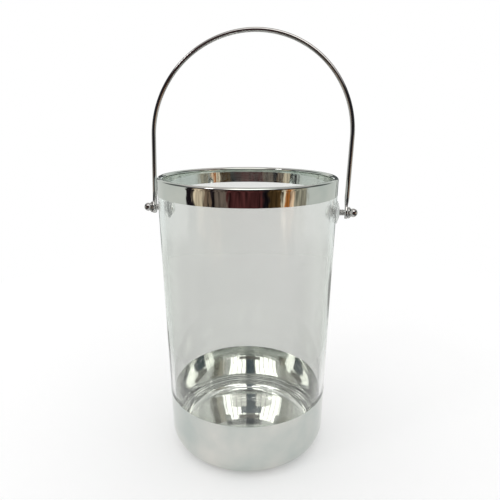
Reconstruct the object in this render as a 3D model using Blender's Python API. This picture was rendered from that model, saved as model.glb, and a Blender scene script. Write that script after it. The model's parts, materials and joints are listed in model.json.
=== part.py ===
"""Glass ice bucket with a silvered rim and base and a swinging wire bail.

Metres, +Z up.  The origin is the centre of the underside, and the pivot axis
of the bail runs along X.
"""

import math

import bmesh
import bpy
from mathutils import Matrix, Vector

# --- The vessel -----------------------------------------------------------
RIM_RADIUS = 0.0600          # over the silvering, at the top
BODY_HEIGHT = 0.1960         # table to rim
WALL_DRAFT = math.radians(1.0)
WALL = 0.0030
BASE_CORNER_RADIUS = 0.0130
FLOOR_HEIGHT = 0.0114        # table to the inside floor
FLOOR_FILLET = 0.0045

# --- The silvering --------------------------------------------------------
SILVER_SKIN = 0.0004
RIM_BAND_HEIGHT = 0.0113
BASE_SILVER_HEIGHT = 0.0420

# --- The bail -------------------------------------------------------------
PIVOT_DROP = 0.0231          # rim to pivot axis
BAIL_RISE = 0.1188           # pivot axis to the middle of the wire at the top
BAIL_FLARE = 0.0018          # how much wider the bow is than the eyes
BAIL_LEAN = math.radians(12.0)
WIRE_RADIUS = 0.0015
EYE_THICKNESS = 0.0016
EYE_RIM = 0.0025             # metal round the hole of the eye
EYE_NECK_RISE = 0.0100       # pivot axis to where the wire is round again

# --- The pivot hardware, the same on both sides ---------------------------
FIT_GAP = 0.0003
SHANK_RADIUS = 0.0013
SPIGOT_WALL = 0.0013
GROMMET_RADIUS = 0.0074
GROMMET_TIP_RADIUS = 0.0029
GROMMET_LIP = 0.0005
GROMMET_HEIGHT = 0.0023
SLEEVE_WALL = 0.0004
SLEEVE_LENGTH = 0.0029
WASHER_THICKNESS = 0.0005
WASHER_RADIUS = 0.0038
COLLAR_RADIUS = 0.0038
COLLAR_EDGE = 0.0004
COLLAR_HEIGHT = 0.00157
NECK_RADIUS = 0.0025
BALL_RADIUS = 0.0028
PAD_RADIUS = 0.0050
PAD_THICKNESS = 0.0006
NUT_ACROSS_FLATS = 0.0070
NUT_HEX_HEIGHT = 0.0012
NUT_DOME_HEIGHT = 0.0010
NUT_DOME_RADIUS = 0.0030
THREAD_REACH = 0.0015        # how far the shank goes into the cap nut

SIDES = ((-1, "left"), (1, "right"))

# --- How finely curves are cut --------------------------------------------
VESSEL_STEPS = 72
SMALL_STEPS = 20
WIRE_SIDES = 12
BOW_STEPS = 36
CORNER_STEPS = 6
RIM_STEPS = 6
BALL_STEPS = 6
SMOOTH_ANGLE = math.radians(30)
MERGE = 1e-7

# --- Worked out from the sizes above --------------------------------------
GLASS_BOTTOM = SILVER_SKIN + FIT_GAP
GLASS_TOP = BODY_HEIGHT - SILVER_SKIN - FIT_GAP
GLASS_RIM_RADIUS = RIM_RADIUS - SILVER_SKIN - FIT_GAP
PIVOT_HEIGHT = BODY_HEIGHT - PIVOT_DROP
BORE_RADIUS = SHANK_RADIUS + FIT_GAP
SPIGOT_RADIUS = BORE_RADIUS + SPIGOT_WALL
HOLE_RADIUS = SPIGOT_RADIUS + FIT_GAP
SLEEVE_RADIUS = BORE_RADIUS + SLEEVE_WALL
EYE_RADIUS = BORE_RADIUS + EYE_RIM


def wall_radius(height, offset=0.0):
    """Radius of the glass's outer wall at a height, moved outwards by offset."""
    drop = GLASS_TOP - height
    return GLASS_RIM_RADIUS - drop * math.tan(WALL_DRAFT) + offset / math.cos(WALL_DRAFT)


# The stack along the pivot axis: each piece starts a fit gap past the one before.
OUTER_WALL_X = wall_radius(PIVOT_HEIGHT)
INNER_WALL_X = wall_radius(PIVOT_HEIGHT, -WALL)
GROMMET_END = OUTER_WALL_X + FIT_GAP + GROMMET_HEIGHT
SLEEVE_START = GROMMET_END + FIT_GAP
SLEEVE_END = SLEEVE_START + SLEEVE_LENGTH
EYE_X = SLEEVE_END + FIT_GAP + EYE_THICKNESS / 2
WASHER_START = EYE_X + EYE_THICKNESS / 2 + FIT_GAP
WASHER_END = WASHER_START + WASHER_THICKNESS
COLLAR_START = WASHER_END + FIT_GAP
PAD_START = INNER_WALL_X - FIT_GAP - PAD_THICKNESS
NUT_OPEN_END = PAD_START - FIT_GAP
SHANK_END = NUT_OPEN_END - THREAD_REACH
NUT_BORE_END = SHANK_END - FIT_GAP
NUT_HEX_END = NUT_OPEN_END - NUT_HEX_HEIGHT
NUT_DOME_END = NUT_HEX_END - NUT_DOME_HEIGHT


def clear_scene():
    """Remove whatever the file already holds."""
    for obj in list(bpy.data.objects):
        bpy.data.objects.remove(obj, do_unlink=True)


def finish_material(name, colour, roughness, metallic=0.0, transmission=0.0):
    """A plain surface finish shared by the pieces made of one stuff."""
    material = bpy.data.materials.new(name)
    material.use_nodes = True
    shader = material.node_tree.nodes["Principled BSDF"]
    shader.inputs["Base Color"].default_value = (*colour, 1.0)
    shader.inputs["Roughness"].default_value = roughness
    shader.inputs["Metallic"].default_value = metallic
    shader.inputs["Transmission Weight"].default_value = transmission
    return material


def place_mesh(name, bm, material=None):
    """Turn a bmesh into an object, smooth over its round faces."""
    bmesh.ops.recalc_face_normals(bm, faces=bm.faces)
    mesh = bpy.data.meshes.new(name)
    bm.to_mesh(mesh)
    bm.free()
    mesh.shade_smooth()
    mesh.set_sharp_from_angle(angle=SMOOTH_ANGLE)
    obj = bpy.data.objects.new(name, mesh)
    bpy.context.scene.collection.objects.link(obj)
    if material:
        mesh.materials.append(material)
    return obj


def turn(name, outline, steps, material=None, closed=False):
    """Turn an outline of (radius, height) points about Z.

    The first face is centred on +X.  A closed outline makes a ring; an open
    one starts and ends on the axis.
    """
    bm = bmesh.new()
    start = Matrix.Rotation(math.pi / steps, 3, "Z")
    points = [bm.verts.new(start @ Vector((radius, 0.0, height))) for radius, height in outline]
    pairs = list(zip(points, points[1:]))
    if closed:
        pairs.append((points[-1], points[0]))
    edges = [bm.edges.new(pair) for pair in pairs]
    bmesh.ops.spin(bm, geom=points + edges, cent=(0, 0, 0), axis=(0, 0, 1),
                   angle=2 * math.pi, steps=steps, use_merge=True)
    bmesh.ops.remove_doubles(bm, verts=bm.verts, dist=MERGE)
    return place_mesh(name, bm, material)


def arc(centre, radius, first, last, steps):
    """Points on an arc in the outline plane, from one angle to another."""
    angles = [first + (last - first) * step / steps for step in range(steps + 1)]
    return [(centre[0] + radius * math.cos(angle), centre[1] + radius * math.sin(angle))
            for angle in angles]


def outer_corner(offset):
    """The rounded corner from the wall to the underside, moved outwards."""
    centre_height = GLASS_BOTTOM + BASE_CORNER_RADIUS
    centre_radius = wall_radius(centre_height, -BASE_CORNER_RADIUS)
    return arc((centre_radius, centre_height), BASE_CORNER_RADIUS + offset,
               -WALL_DRAFT, -math.pi / 2, CORNER_STEPS)


def rim_arc(offset):
    """The half-round top of the wall, from its inner to its outer side."""
    centre_height = GLASS_TOP - WALL / 2
    centre = (wall_radius(centre_height, -WALL / 2), centre_height)
    return arc(centre, WALL / 2 + offset, math.pi - WALL_DRAFT, -WALL_DRAFT, RIM_STEPS)


def floor_fillet():
    """The hollow corner inside, from the floor up to the wall."""
    centre_height = FLOOR_HEIGHT + FLOOR_FILLET
    centre = (wall_radius(centre_height, -WALL - FLOOR_FILLET), centre_height)
    return arc(centre, FLOOR_FILLET, -math.pi / 2, -WALL_DRAFT, CORNER_STEPS)


def use_boolean(obj, tool, operation="DIFFERENCE"):
    """Cut or join with a hidden helper solid."""
    tool.hide_render = True
    tool.display_type = "WIRE"
    modifier = obj.modifiers.new(tool.name, "BOOLEAN")
    modifier.operation = operation
    modifier.solver = "EXACT"
    modifier.object = tool


def aim_along_pivot(obj, side):
    """Lay a turned piece along the pivot axis, pointing out on its side."""
    obj.location = (0.0, 0.0, PIVOT_HEIGHT)
    obj.rotation_euler = (0.0, side * math.pi / 2, 0.0)
    return obj


def solid_rod(radius, low, high):
    """Outline of a plain rod between two places on its axis."""
    return [(0.0, high), (radius, high), (radius, low), (0.0, low)]


def flat_ring(inner, outer, low, high):
    """Closed outline of a flat ring between two places on its axis."""
    return [(outer, high), (outer, low), (inner, low), (inner, high)]


def make_glass_vessel(glass):
    """The blown body: thick floor, thin drafted wall, fire-rounded rim."""
    outline = [(0.0, FLOOR_HEIGHT)] + floor_fillet() + rim_arc(0.0)
    outline += outer_corner(0.0) + [(0.0, GLASS_BOTTOM)]
    vessel = turn("glass_vessel", outline, VESSEL_STEPS, glass)
    drill = turn("pivot_drill", solid_rod(HOLE_RADIUS, -RIM_RADIUS, RIM_RADIUS), SMALL_STEPS)
    use_boolean(vessel, aim_along_pivot(drill, 1))


def make_rim_silvering(silver):
    """The silvered band, folded over the rim and down both sides."""
    band_foot = BODY_HEIGHT - RIM_BAND_HEIGHT
    near, far = FIT_GAP, FIT_GAP + SILVER_SKIN
    shown = [(wall_radius(band_foot, -WALL - far), band_foot)] + rim_arc(far)
    shown.append((wall_radius(band_foot, far), band_foot))
    bonded = [(wall_radius(band_foot, near), band_foot)] + rim_arc(near)[::-1]
    bonded.append((wall_radius(band_foot, -WALL - near), band_foot))
    turn("rim_silvering", shown + bonded, VESSEL_STEPS, silver, closed=True)


def make_base_silvering(silver):
    """The silvered cup over the foot of the wall, the corner and the underside."""
    near, far = FIT_GAP, FIT_GAP + SILVER_SKIN
    bonded = [(0.0, GLASS_BOTTOM - near)] + outer_corner(near)[::-1]
    bonded.append((wall_radius(BASE_SILVER_HEIGHT, near), BASE_SILVER_HEIGHT))
    shown = [(wall_radius(BASE_SILVER_HEIGHT, far), BASE_SILVER_HEIGHT)] + outer_corner(far)
    shown.append((0.0, GLASS_BOTTOM - far))
    turn("base_silvering", bonded + shown, VESSEL_STEPS, silver)


def bail_points():
    """Middle line of the wire in its own plane: leg, bow, leg.

    The legs are tangents from the eyes to the circle of the bow.
    """
    bow_radius = EYE_X + BAIL_FLARE
    bow_height = BAIL_RISE - bow_radius
    reach = math.hypot(EYE_X, bow_height)
    tilt = math.pi / 2 - math.atan2(bow_height, -EYE_X) + math.asin(bow_radius / reach)
    bow = arc((0.0, bow_height), bow_radius, -tilt, math.pi + tilt, BOW_STEPS)
    foot = BORE_RADIUS + EYE_RIM / 4
    heights = [foot, EYE_RADIUS, (EYE_RADIUS + EYE_NECK_RISE) / 2, EYE_NECK_RISE]
    leg = [(EYE_X + height * math.tan(tilt), height) for height in heights]
    return leg + bow + [(-x, z) for x, z in reversed(leg)]


def wire_section(height):
    """Half thickness along X and half width along Y of the wire at a height.

    It is round above the neck and flattens towards the eye with the same girth.
    """
    share = (height - EYE_RADIUS) / (EYE_NECK_RISE - EYE_RADIUS)
    share = min(max(share, 0.0), 1.0)
    eased = share * share * (3 - 2 * share)
    flat = (EYE_THICKNESS - FIT_GAP) / 2
    thickness = flat + (WIRE_RADIUS - flat) * eased
    return thickness, 2 * WIRE_RADIUS - thickness


def wire_ring(bm, before, point, after):
    """One ring of points round the wire, square to its run."""
    tangent = Vector((after[0] - before[0], 0.0, after[1] - before[1])).normalized()
    across = tangent.cross(Vector((0.0, 1.0, 0.0)))
    thickness, width = wire_section(point[1])
    middle = Vector((point[0], 0.0, point[1]))
    angles = [2 * math.pi * side / WIRE_SIDES for side in range(WIRE_SIDES)]
    return [bm.verts.new(middle + across * thickness * math.cos(angle)
                         + Vector((0.0, width * math.sin(angle), 0.0))) for angle in angles]


def make_bail_handle(chrome):
    """The bent wire with an eye flattened and pierced at each end."""
    points = bail_points()
    before = [points[0]] + points[:-1]
    after = points[1:] + [points[-1]]
    bm = bmesh.new()
    rings = [wire_ring(bm, *trio) for trio in zip(before, points, after)]
    for low, high in zip(rings, rings[1:]):
        for side in range(WIRE_SIDES):
            other = (side + 1) % WIRE_SIDES
            bm.faces.new((low[side], low[other], high[other], high[side]))
    bm.faces.new(rings[0])
    bm.faces.new(rings[-1])
    bail = place_mesh("bail_handle", bm, chrome)
    bail.location = (0.0, 0.0, PIVOT_HEIGHT)
    bail.rotation_euler = (-BAIL_LEAN, 0.0, 0.0)
    low, high = EYE_X - EYE_THICKNESS / 2, EYE_X + EYE_THICKNESS / 2
    for side, label in SIDES:
        eye = turn("eye_disc_" + label, solid_rod(EYE_RADIUS, low, high), SMALL_STEPS)
        use_boolean(bail, aim_along_pivot(eye, side), "UNION")
    for side, label in SIDES:
        bore = turn("eye_drill_" + label,
                    solid_rod(BORE_RADIUS, low - WALL, high + WALL), SMALL_STEPS)
        use_boolean(bail, aim_along_pivot(bore, side))


def make_pivot_screw(side, label, chrome):
    """Ball head, coned collar and a plain shank through the wall, in one piece."""
    collar_back = COLLAR_START + COLLAR_HEIGHT
    sink = math.sqrt(BALL_RADIUS ** 2 - NECK_RADIUS ** 2)
    ball = arc((0.0, collar_back + sink), BALL_RADIUS, math.pi / 2,
               -math.asin(sink / BALL_RADIUS), BALL_STEPS)
    ball[0] = (0.0, ball[0][1])
    collar = [(COLLAR_RADIUS, COLLAR_START + COLLAR_EDGE), (COLLAR_RADIUS, COLLAR_START)]
    shank = [(SHANK_RADIUS, COLLAR_START), (SHANK_RADIUS, SHANK_END), (0.0, SHANK_END)]
    screw = turn("pivot_screw_" + label, ball + collar + shank, SMALL_STEPS, chrome)
    aim_along_pivot(screw, side)


def make_outside_rings(side, label, chrome):
    """The spacer sleeve and the retaining washer on either side of the eye."""
    sleeve = flat_ring(BORE_RADIUS, SLEEVE_RADIUS, SLEEVE_START, SLEEVE_END)
    aim_along_pivot(turn("spacer_sleeve_" + label, sleeve, SMALL_STEPS, chrome, True), side)
    washer = flat_ring(BORE_RADIUS, WASHER_RADIUS, WASHER_START, WASHER_END)
    aim_along_pivot(turn("retaining_washer_" + label, washer, SMALL_STEPS, chrome, True), side)


def make_outer_grommet(side, label, soft):
    """The coned grommet outside: its face hugs the wall, its spigot fills the hole."""
    lip = OUTER_WALL_X + FIT_GAP + GROMMET_LIP
    cone = [(0.0, GROMMET_END), (GROMMET_TIP_RADIUS, GROMMET_END), (GROMMET_RADIUS, lip),
            (GROMMET_RADIUS, INNER_WALL_X), (0.0, INNER_WALL_X)]
    grommet = turn("outer_grommet_" + label, cone, SMALL_STEPS, soft)
    aim_along_pivot(grommet, side)
    wall = [(wall_radius(height, FIT_GAP), height)
            for height in (PIVOT_HEIGHT + 2 * GROMMET_RADIUS, PIVOT_HEIGHT - 2 * GROMMET_RADIUS)]
    wall = [(0.0, wall[0][1])] + wall + [(0.0, wall[1][1])]
    use_boolean(grommet, turn("wall_form_" + label, wall, VESSEL_STEPS))
    spigot = solid_rod(SPIGOT_RADIUS, INNER_WALL_X + FIT_GAP, GROMMET_END - GROMMET_HEIGHT / 2)
    spigot = aim_along_pivot(turn("spigot_" + label, spigot, SMALL_STEPS), side)
    use_boolean(grommet, spigot, "UNION")
    bore = solid_rod(BORE_RADIUS, INNER_WALL_X - WALL, GROMMET_END + WALL)
    use_boolean(grommet, aim_along_pivot(turn("grommet_drill_" + label, bore, SMALL_STEPS), side))


def make_inner_pad(side, label, soft):
    """The soft washer inside, curved to the inner wall."""
    ring = flat_ring(BORE_RADIUS, PAD_RADIUS, PAD_START, INNER_WALL_X)
    pad = turn("inner_pad_" + label, ring, SMALL_STEPS, soft, closed=True)
    aim_along_pivot(pad, side)
    high, low = PIVOT_HEIGHT + 2 * PAD_RADIUS, PIVOT_HEIGHT - 2 * PAD_RADIUS
    hollow = [(0.0, high), (wall_radius(high, -WALL - FIT_GAP), high),
              (wall_radius(low, -WALL - FIT_GAP), low), (0.0, low)]
    use_boolean(pad, turn("hollow_form_" + label, hollow, VESSEL_STEPS), "INTERSECT")


def make_cap_nut(side, label, chrome):
    """The domed hexagon nut inside, bored blind for the shank."""
    corner = NUT_ACROSS_FLATS / 2 / math.cos(math.pi / 6)
    nut = turn("cap_nut_" + label, solid_rod(corner, NUT_HEX_END, NUT_OPEN_END), 6, chrome)
    aim_along_pivot(nut, side)
    steps = [math.pi / 2 * step / BALL_STEPS for step in range(BALL_STEPS + 1)]
    dome = [(NUT_DOME_RADIUS * math.cos(angle),
             NUT_HEX_END - NUT_DOME_HEIGHT * math.sin(angle)) for angle in steps]
    dome[-1] = (0.0, NUT_DOME_END)
    dome = [(0.0, NUT_HEX_END + NUT_HEX_HEIGHT / 2),
            (NUT_DOME_RADIUS, NUT_HEX_END + NUT_HEX_HEIGHT / 2)] + dome
    dome = aim_along_pivot(turn("nut_dome_" + label, dome, SMALL_STEPS), side)
    use_boolean(nut, dome, "UNION")
    bore = solid_rod(BORE_RADIUS, NUT_BORE_END, NUT_OPEN_END + WALL)
    use_boolean(nut, aim_along_pivot(turn("nut_drill_" + label, bore, SMALL_STEPS), side))


def main():
    clear_scene()
    glass = finish_material("clear_glass", (0.93, 0.95, 0.94), 0.02, transmission=1.0)
    silver = finish_material("silvering", (0.82, 0.84, 0.83), 0.04, metallic=1.0)
    chrome = finish_material("chrome", (0.72, 0.71, 0.70), 0.08, metallic=1.0)
    soft = finish_material("clear_rubber", (0.78, 0.80, 0.78), 0.35, transmission=0.6)
    make_glass_vessel(glass)
    make_rim_silvering(silver)
    make_base_silvering(silver)
    make_bail_handle(chrome)
    for side, label in SIDES:
        make_pivot_screw(side, label, chrome)
        make_outside_rings(side, label, chrome)
        make_outer_grommet(side, label, soft)
        make_inner_pad(side, label, soft)
        make_cap_nut(side, label, chrome)


main()
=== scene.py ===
# %% [markdown]
# # A glass ice bucket with a silvered rim and base
#
# The real bucket is a tall glass cylinder with a thick floor. A mirror coat is folded over
# its rim and another one covers its foot, and a bent wire bail swings on two ball-headed
# screws. This notebook builds what the eye sees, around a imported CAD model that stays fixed.
# Nearly every piece is a body of revolution or a profile carried along a path, so a handful
# of small numpy helpers makes them all.

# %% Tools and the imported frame
import json
from functools import partial

import bpy
import numpy as np
from mathutils import Matrix, Vector


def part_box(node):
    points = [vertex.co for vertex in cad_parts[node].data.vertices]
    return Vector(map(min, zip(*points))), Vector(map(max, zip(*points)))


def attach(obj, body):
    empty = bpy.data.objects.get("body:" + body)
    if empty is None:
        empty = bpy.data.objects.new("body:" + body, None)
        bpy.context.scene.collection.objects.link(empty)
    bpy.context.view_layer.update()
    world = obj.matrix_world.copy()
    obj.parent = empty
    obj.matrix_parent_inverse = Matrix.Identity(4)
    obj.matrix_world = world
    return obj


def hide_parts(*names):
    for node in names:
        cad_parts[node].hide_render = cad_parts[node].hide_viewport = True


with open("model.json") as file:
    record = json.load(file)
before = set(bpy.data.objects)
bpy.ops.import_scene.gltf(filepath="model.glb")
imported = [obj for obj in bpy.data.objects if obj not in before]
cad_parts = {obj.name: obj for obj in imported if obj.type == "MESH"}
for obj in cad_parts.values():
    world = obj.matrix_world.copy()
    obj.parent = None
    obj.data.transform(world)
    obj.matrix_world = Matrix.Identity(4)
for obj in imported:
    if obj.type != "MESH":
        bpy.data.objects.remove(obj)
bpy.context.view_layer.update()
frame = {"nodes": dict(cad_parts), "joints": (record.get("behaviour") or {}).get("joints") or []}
print("nodes in the frame:", len(frame["nodes"]))

# %% [markdown]
# ## Sizes
#
# Every place comes from the CAD nodes, so that a changed CAD model carries its looks along.
# A few sizes can't be read from a box: the wall, the draft, the corner radii and the wire.
# Those are written here once. The coat is drawn a tenth of a millimetre thick, and its inner
# face lies a little way into the glass, because real silvering is bonded to it: light inside
# the glass then meets metal with no film of air between.

# %% Sizes of the vessel
MM = 0.001
RIM_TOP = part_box("rim_silvering")[1].z
RIM_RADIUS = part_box("rim_silvering")[1].x
BAND_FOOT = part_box("rim_silvering")[0].z
BASE_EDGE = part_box("base_silvering")[1].z
COAT = 0.10 * MM
COAT_ROOT = 0.03 * MM
GLASS_TOP = RIM_TOP - COAT
GLASS_RADIUS = RIM_RADIUS - COAT
GLASS_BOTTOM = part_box("base_silvering")[0].z + COAT
WALL = 3.3 * MM
DRAFT = np.radians(1.0)
FLOOR_HEIGHT = 11.4 * MM
FLOOR_FILLET = 4.2 * MM
BASE_CORNER = 13.5 * MM
PUNT_RISE = 1.5 * MM
PUNT_RADIUS = 43.0 * MM
PUNT_POWER = 2.2
print(f"rim {2 * RIM_RADIUS / MM:.1f} mm across, {RIM_TOP / MM:.1f} mm high")

# %% Sizes along the pivot axis
PIVOT = frame["joints"][0]["pos_m"][2]
GROMMET_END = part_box("outer_grommet_right")[1].x
SLEEVE_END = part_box("spacer_sleeve_right")[1].x
SLEEVE_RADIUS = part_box("spacer_sleeve_right")[1].z - PIVOT
WASHER_START, WASHER_END = (corner.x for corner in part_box("retaining_washer_right"))
WASHER_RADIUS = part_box("retaining_washer_right")[1].z - PIVOT
SHANK_END, BALL_END = (corner.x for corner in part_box("pivot_screw_right"))
PAD_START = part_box("inner_pad_right")[0].x
PAD_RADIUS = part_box("inner_pad_right")[1].z - PIVOT
NUT_DOME_END, NUT_OPEN_END = (corner.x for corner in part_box("cap_nut_right"))
GROMMET_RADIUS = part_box("outer_grommet_right")[1].z - PIVOT
SHANK_RADIUS = 1.3 * MM
BORE_RADIUS = 1.6 * MM
HOLE_RADIUS = 3.2 * MM
SPIGOT_RADIUS = 2.9 * MM
EYE_X = (SLEEVE_END + WASHER_START) / 2
print(f"eyes {2 * EYE_X / MM:.1f} mm apart, pivot {PIVOT / MM:.1f} mm high")

# %% [markdown]
# ## Outlines
#
# An outline is an array of points in a plane. Straight runs and arcs are enough for the
# vessel. The small turned parts are given as corners with a fillet each, since no machined
# edge is knife sharp, and it is the rounded edge that catches the light. Two extra points
# beside each fillet keep the flat beside it flat when the faces are shaded smooth.

# %% Runs and arcs
SAME_PLACE = 1e-7


def run(first, last, steps):
    """Evenly spaced points on the straight line between two points."""
    share = np.linspace(0.0, 1.0, steps + 1)[:, None]
    return np.asarray(first) * (1 - share) + np.asarray(last) * share


def bend(centre, radius, first, last, steps):
    """Points on a circle round a centre, from one angle to another."""
    angle = np.linspace(first, last, steps + 1)
    return np.asarray(centre) + radius * np.stack([np.cos(angle), np.sin(angle)], axis=1)


def join(*parts):
    """One outline from several, without the points that repeat where they meet."""
    points = np.concatenate(parts)
    step = np.linalg.norm(np.diff(points, axis=0), axis=1)
    return points[np.concatenate([[True], step > SAME_PLACE])]


print("a quarter circle in two steps:", bend((0, 0), 1, 0, np.pi / 2, 2).round(3).tolist())

# %% Filleted corners
SUPPORT_SHARE = 0.25


def fillet(before, corner, after, radius, steps=5):
    """The arc that touches both sides of a corner, with a support point at either end.

    It starts at radius / tan(half the angle) from the corner, and its centre lies on the
    line that halves the angle, at radius / sin(half the angle).
    """
    if radius == 0:
        return corner[None]
    towards = np.stack([before - corner, after - corner])
    towards /= np.linalg.norm(towards, axis=1)[:, None]
    half = np.arccos(np.clip(towards[0] @ towards[1], -1, 1)) / 2
    middle = towards.sum(axis=0)
    centre = corner + middle / np.linalg.norm(middle) * radius / np.sin(half)
    ends = corner + towards * radius / np.tan(half)
    angle = np.arctan2(*(ends - centre).T[::-1])
    turn = (angle[1] - angle[0] + np.pi) % (2 * np.pi) - np.pi
    arc = bend(centre, radius, angle[0], angle[0] + turn, steps)
    support = ends + towards * radius * SUPPORT_SHARE
    return np.concatenate([support[:1], arc, support[1:]])


def filleted(corners, closed=False):
    """Outline through corners given as (first, second, fillet radius) in millimetres."""
    corners = np.asarray(corners, float) * MM
    places = corners[:, :2]
    arcs = []
    for index, (place, radius) in enumerate(zip(places, corners[:, 2])):
        inner = closed or 0 < index < len(places) - 1
        neighbours = places[index - 1], places[(index + 1) % len(places)]
        arcs.append(fillet(neighbours[0], place, neighbours[1], radius if inner else 0))
    return join(*arcs)


def in_mm(*lengths):
    """Lengths in millimetres, as the corners of a filleted outline are given."""
    return [length / MM for length in lengths]


# %% [markdown]
# ## From grids of points to meshes
#
# A grid has one row for each outline point and one column for each step round the axis, so
# a whole surface is two broadcast arrays and its faces follow from the row and column
# numbers. Where an outline starts and ends on the axis, those rows shrink to one point and
# a fan of triangles closes the pole. The enclosed volume tells whether the faces point
# outwards: if it comes out negative, all of them are turned over.

# %% The faces of a grid
def quads_of(rows, columns, rows_wrap):
    """Quads between neighbouring rows and columns; the columns always wrap."""
    row = np.arange(rows if rows_wrap else rows - 1)[:, None]
    column = np.arange(columns)[None]
    beside = (column + 1) % columns
    above = (row + 1) % rows
    quads = np.stack([row * columns + column, row * columns + beside,
                      above * columns + beside, above * columns + column], axis=-1)
    return quads.reshape(-1, 4)


def fans_of(rows, columns):
    """Triangles from the first and the last row to two poles, numbered after the rows."""
    column = np.arange(columns)
    beside = (column + 1) % columns
    last, pole = (rows - 1) * columns, np.full(columns, rows * columns)
    return np.concatenate([np.stack([beside, column, pole], axis=1),
                           np.stack([column + last, beside + last, pole + 1], axis=1)])


def faces_of(grid, rows_wrap):
    """Points, quads and triangles. Without a wrap the first and last rows are poles."""
    rows, columns = grid.shape[:2]
    if rows_wrap:
        return grid.reshape(-1, 3), quads_of(rows, columns, True), np.zeros((0, 3), int)
    points = np.concatenate([grid[1:-1].reshape(-1, 3), grid[:1, 0], grid[-1:, 0]])
    return points, quads_of(rows - 2, columns, False), fans_of(rows - 2, columns)


def enclosed_volume(points, quads, triangles):
    """Sum of the signed tetrahedra from the origin, a sixth of a triple product each."""
    halves = np.concatenate([quads[:, [0, 1, 2]], quads[:, [0, 2, 3]], triangles])
    a, b, c = (points[halves[:, k]] for k in range(3))
    return np.einsum("ij,ij->", a, np.cross(b, c)) / 6


print("a ring of 4 rows and 8 columns has", len(quads_of(4, 8, True)), "quads")

# %% The mesh builder
ML = 1e-6


def make_skin(name, grid, rows_wrap, material, sharp=40.0):
    """A closed mesh from a grid. Edges that bend by more than sharp degrees stay hard."""
    points, quads, triangles = faces_of(grid, rows_wrap)
    volume = enclosed_volume(points, quads, triangles)
    if volume < 0:
        quads, triangles = quads[:, ::-1], triangles[:, ::-1]
    mesh = bpy.data.meshes.new(name)
    sizes = np.concatenate([np.full(len(quads), 4), np.full(len(triangles), 3)])
    corners = np.concatenate([quads.ravel(), triangles.ravel()])
    mesh.vertices.add(len(points))
    mesh.vertices.foreach_set("co", points.ravel())
    mesh.loops.add(len(corners))
    mesh.loops.foreach_set("vertex_index", corners)
    mesh.polygons.add(len(sizes))
    mesh.polygons.foreach_set("loop_start", np.concatenate([[0], np.cumsum(sizes)[:-1]]))
    mesh.update(calc_edges=True)
    mesh.validate()
    mesh.shade_smooth()
    mesh.set_sharp_from_angle(angle=np.radians(sharp))
    mesh.materials.append(material)
    obj = bpy.data.objects.new(name, mesh)
    bpy.context.scene.collection.objects.link(obj)
    print(f"{name}: {len(sizes)} faces, {abs(volume) / ML:.2f} ml")
    return obj


def turned(outline, columns):
    """Points of an outline of (radius, height) turned about Z."""
    angle = np.linspace(0, 2 * np.pi, columns, endpoint=False)[None]
    radius, height = outline[:, :1], outline[:, 1:]
    return np.stack([radius * np.cos(angle), radius * np.sin(angle),
                     height + 0 * angle], axis=-1)


def turned_on_pivot(outline, columns=64):
    """Points of an outline of (distance along X, radius) turned about the pivot axis."""
    first, second, along = np.moveaxis(turned(outline[:, ::-1], columns), -1, 0)
    return np.stack([along, first, PIVOT + second], axis=-1)


# %% [markdown]
# ## Finishes
#
# Four stuffs make the whole bucket. The glass is clear, with the slight vertical draw lines
# that a mould leaves and a grey-green tint: partly its own faint cast, partly painted shade
# that stands in for the darker surroundings seen through it. The silvering is a mirror, never
# quite flat, with a trace of haze where hands have been. Behind the glass its colour is that
# of the plating; on the outer face the darker grey-green is partly the plating's own and
# partly a painted reflection of pale grey-green surroundings. The chrome of the wire and the
# screws is darker and shows fine polishing lines, and the cap nuts have the same plating,
# duller and painted brighter to make up for the tinted glass in front of them. The grommets
# and pads are milky soft plastic. All patterns use Object coordinates, which are the same as
# the row frame here because every object sits at the origin.

# %% Node helpers
NOISE_LOW, NOISE_HIGH = 0.3, 0.7


def new_finish(name, **sockets):
    """A Principled material; keyword names are socket names with underscores."""
    material = bpy.data.materials.new(name)
    material.use_nodes = True
    shader = material.node_tree.nodes["Principled BSDF"]
    for socket, value in sockets.items():
        shader.inputs[socket.replace("_", " ")].default_value = value
    return material, material.node_tree, shader


def stretched_noise(tree, scale, stretch, detail=2.0, place=None):
    """Noise drawn out along an axis by a Mapping node, on Object coordinates or a place."""
    if place is None:
        place = tree.nodes.new("ShaderNodeTexCoord").outputs["Object"]
    mapping = tree.nodes.new("ShaderNodeMapping")
    mapping.inputs["Scale"].default_value = stretch
    noise = tree.nodes.new("ShaderNodeTexNoise")
    noise.inputs["Scale"].default_value = scale
    noise.inputs["Detail"].default_value = detail
    tree.links.new(place, mapping.inputs["Vector"])
    tree.links.new(mapping.outputs["Vector"], noise.inputs["Vector"])
    return noise.outputs["Fac"]


def feed(tree, slots, values):
    """Give each slot its value: a socket is linked, a number or a colour is written."""
    for slot, value in zip(slots, values):
        if isinstance(value, bpy.types.NodeSocket):
            tree.links.new(value, slot)
        else:
            slot.default_value = (*value, 1.0) if isinstance(value, tuple) else value


def figured(tree, operation, *values):
    """A Math node on sockets or plain numbers."""
    node = tree.nodes.new("ShaderNodeMath")
    node.operation = operation
    feed(tree, node.inputs, values)
    return node.outputs["Value"]


def mixed(tree, factor, first, second):
    """Mix two colours, given as sockets or as plain triples."""
    node = tree.nodes.new("ShaderNodeMix")
    node.data_type = "RGBA"
    feed(tree, [node.inputs[slot] for slot in ("Factor", "A", "B")], (factor, first, second))
    return node.outputs["Result"]


def mapped(tree, value, low, high, least=0.0, most=1.0, way="LINEAR"):
    """Map a value between low and high onto the range from least to most."""
    node = tree.nodes.new("ShaderNodeMapRange")
    node.interpolation_type = way
    feed(tree, node.inputs, (value, low, high, least, most))
    return node.outputs["Result"]


def spread(tree, noise, least, most):
    """Map the middle of a noise value, where nearly all of it lies, onto a range."""
    return mapped(tree, noise, NOISE_LOW, NOISE_HIGH, least, most)


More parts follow.
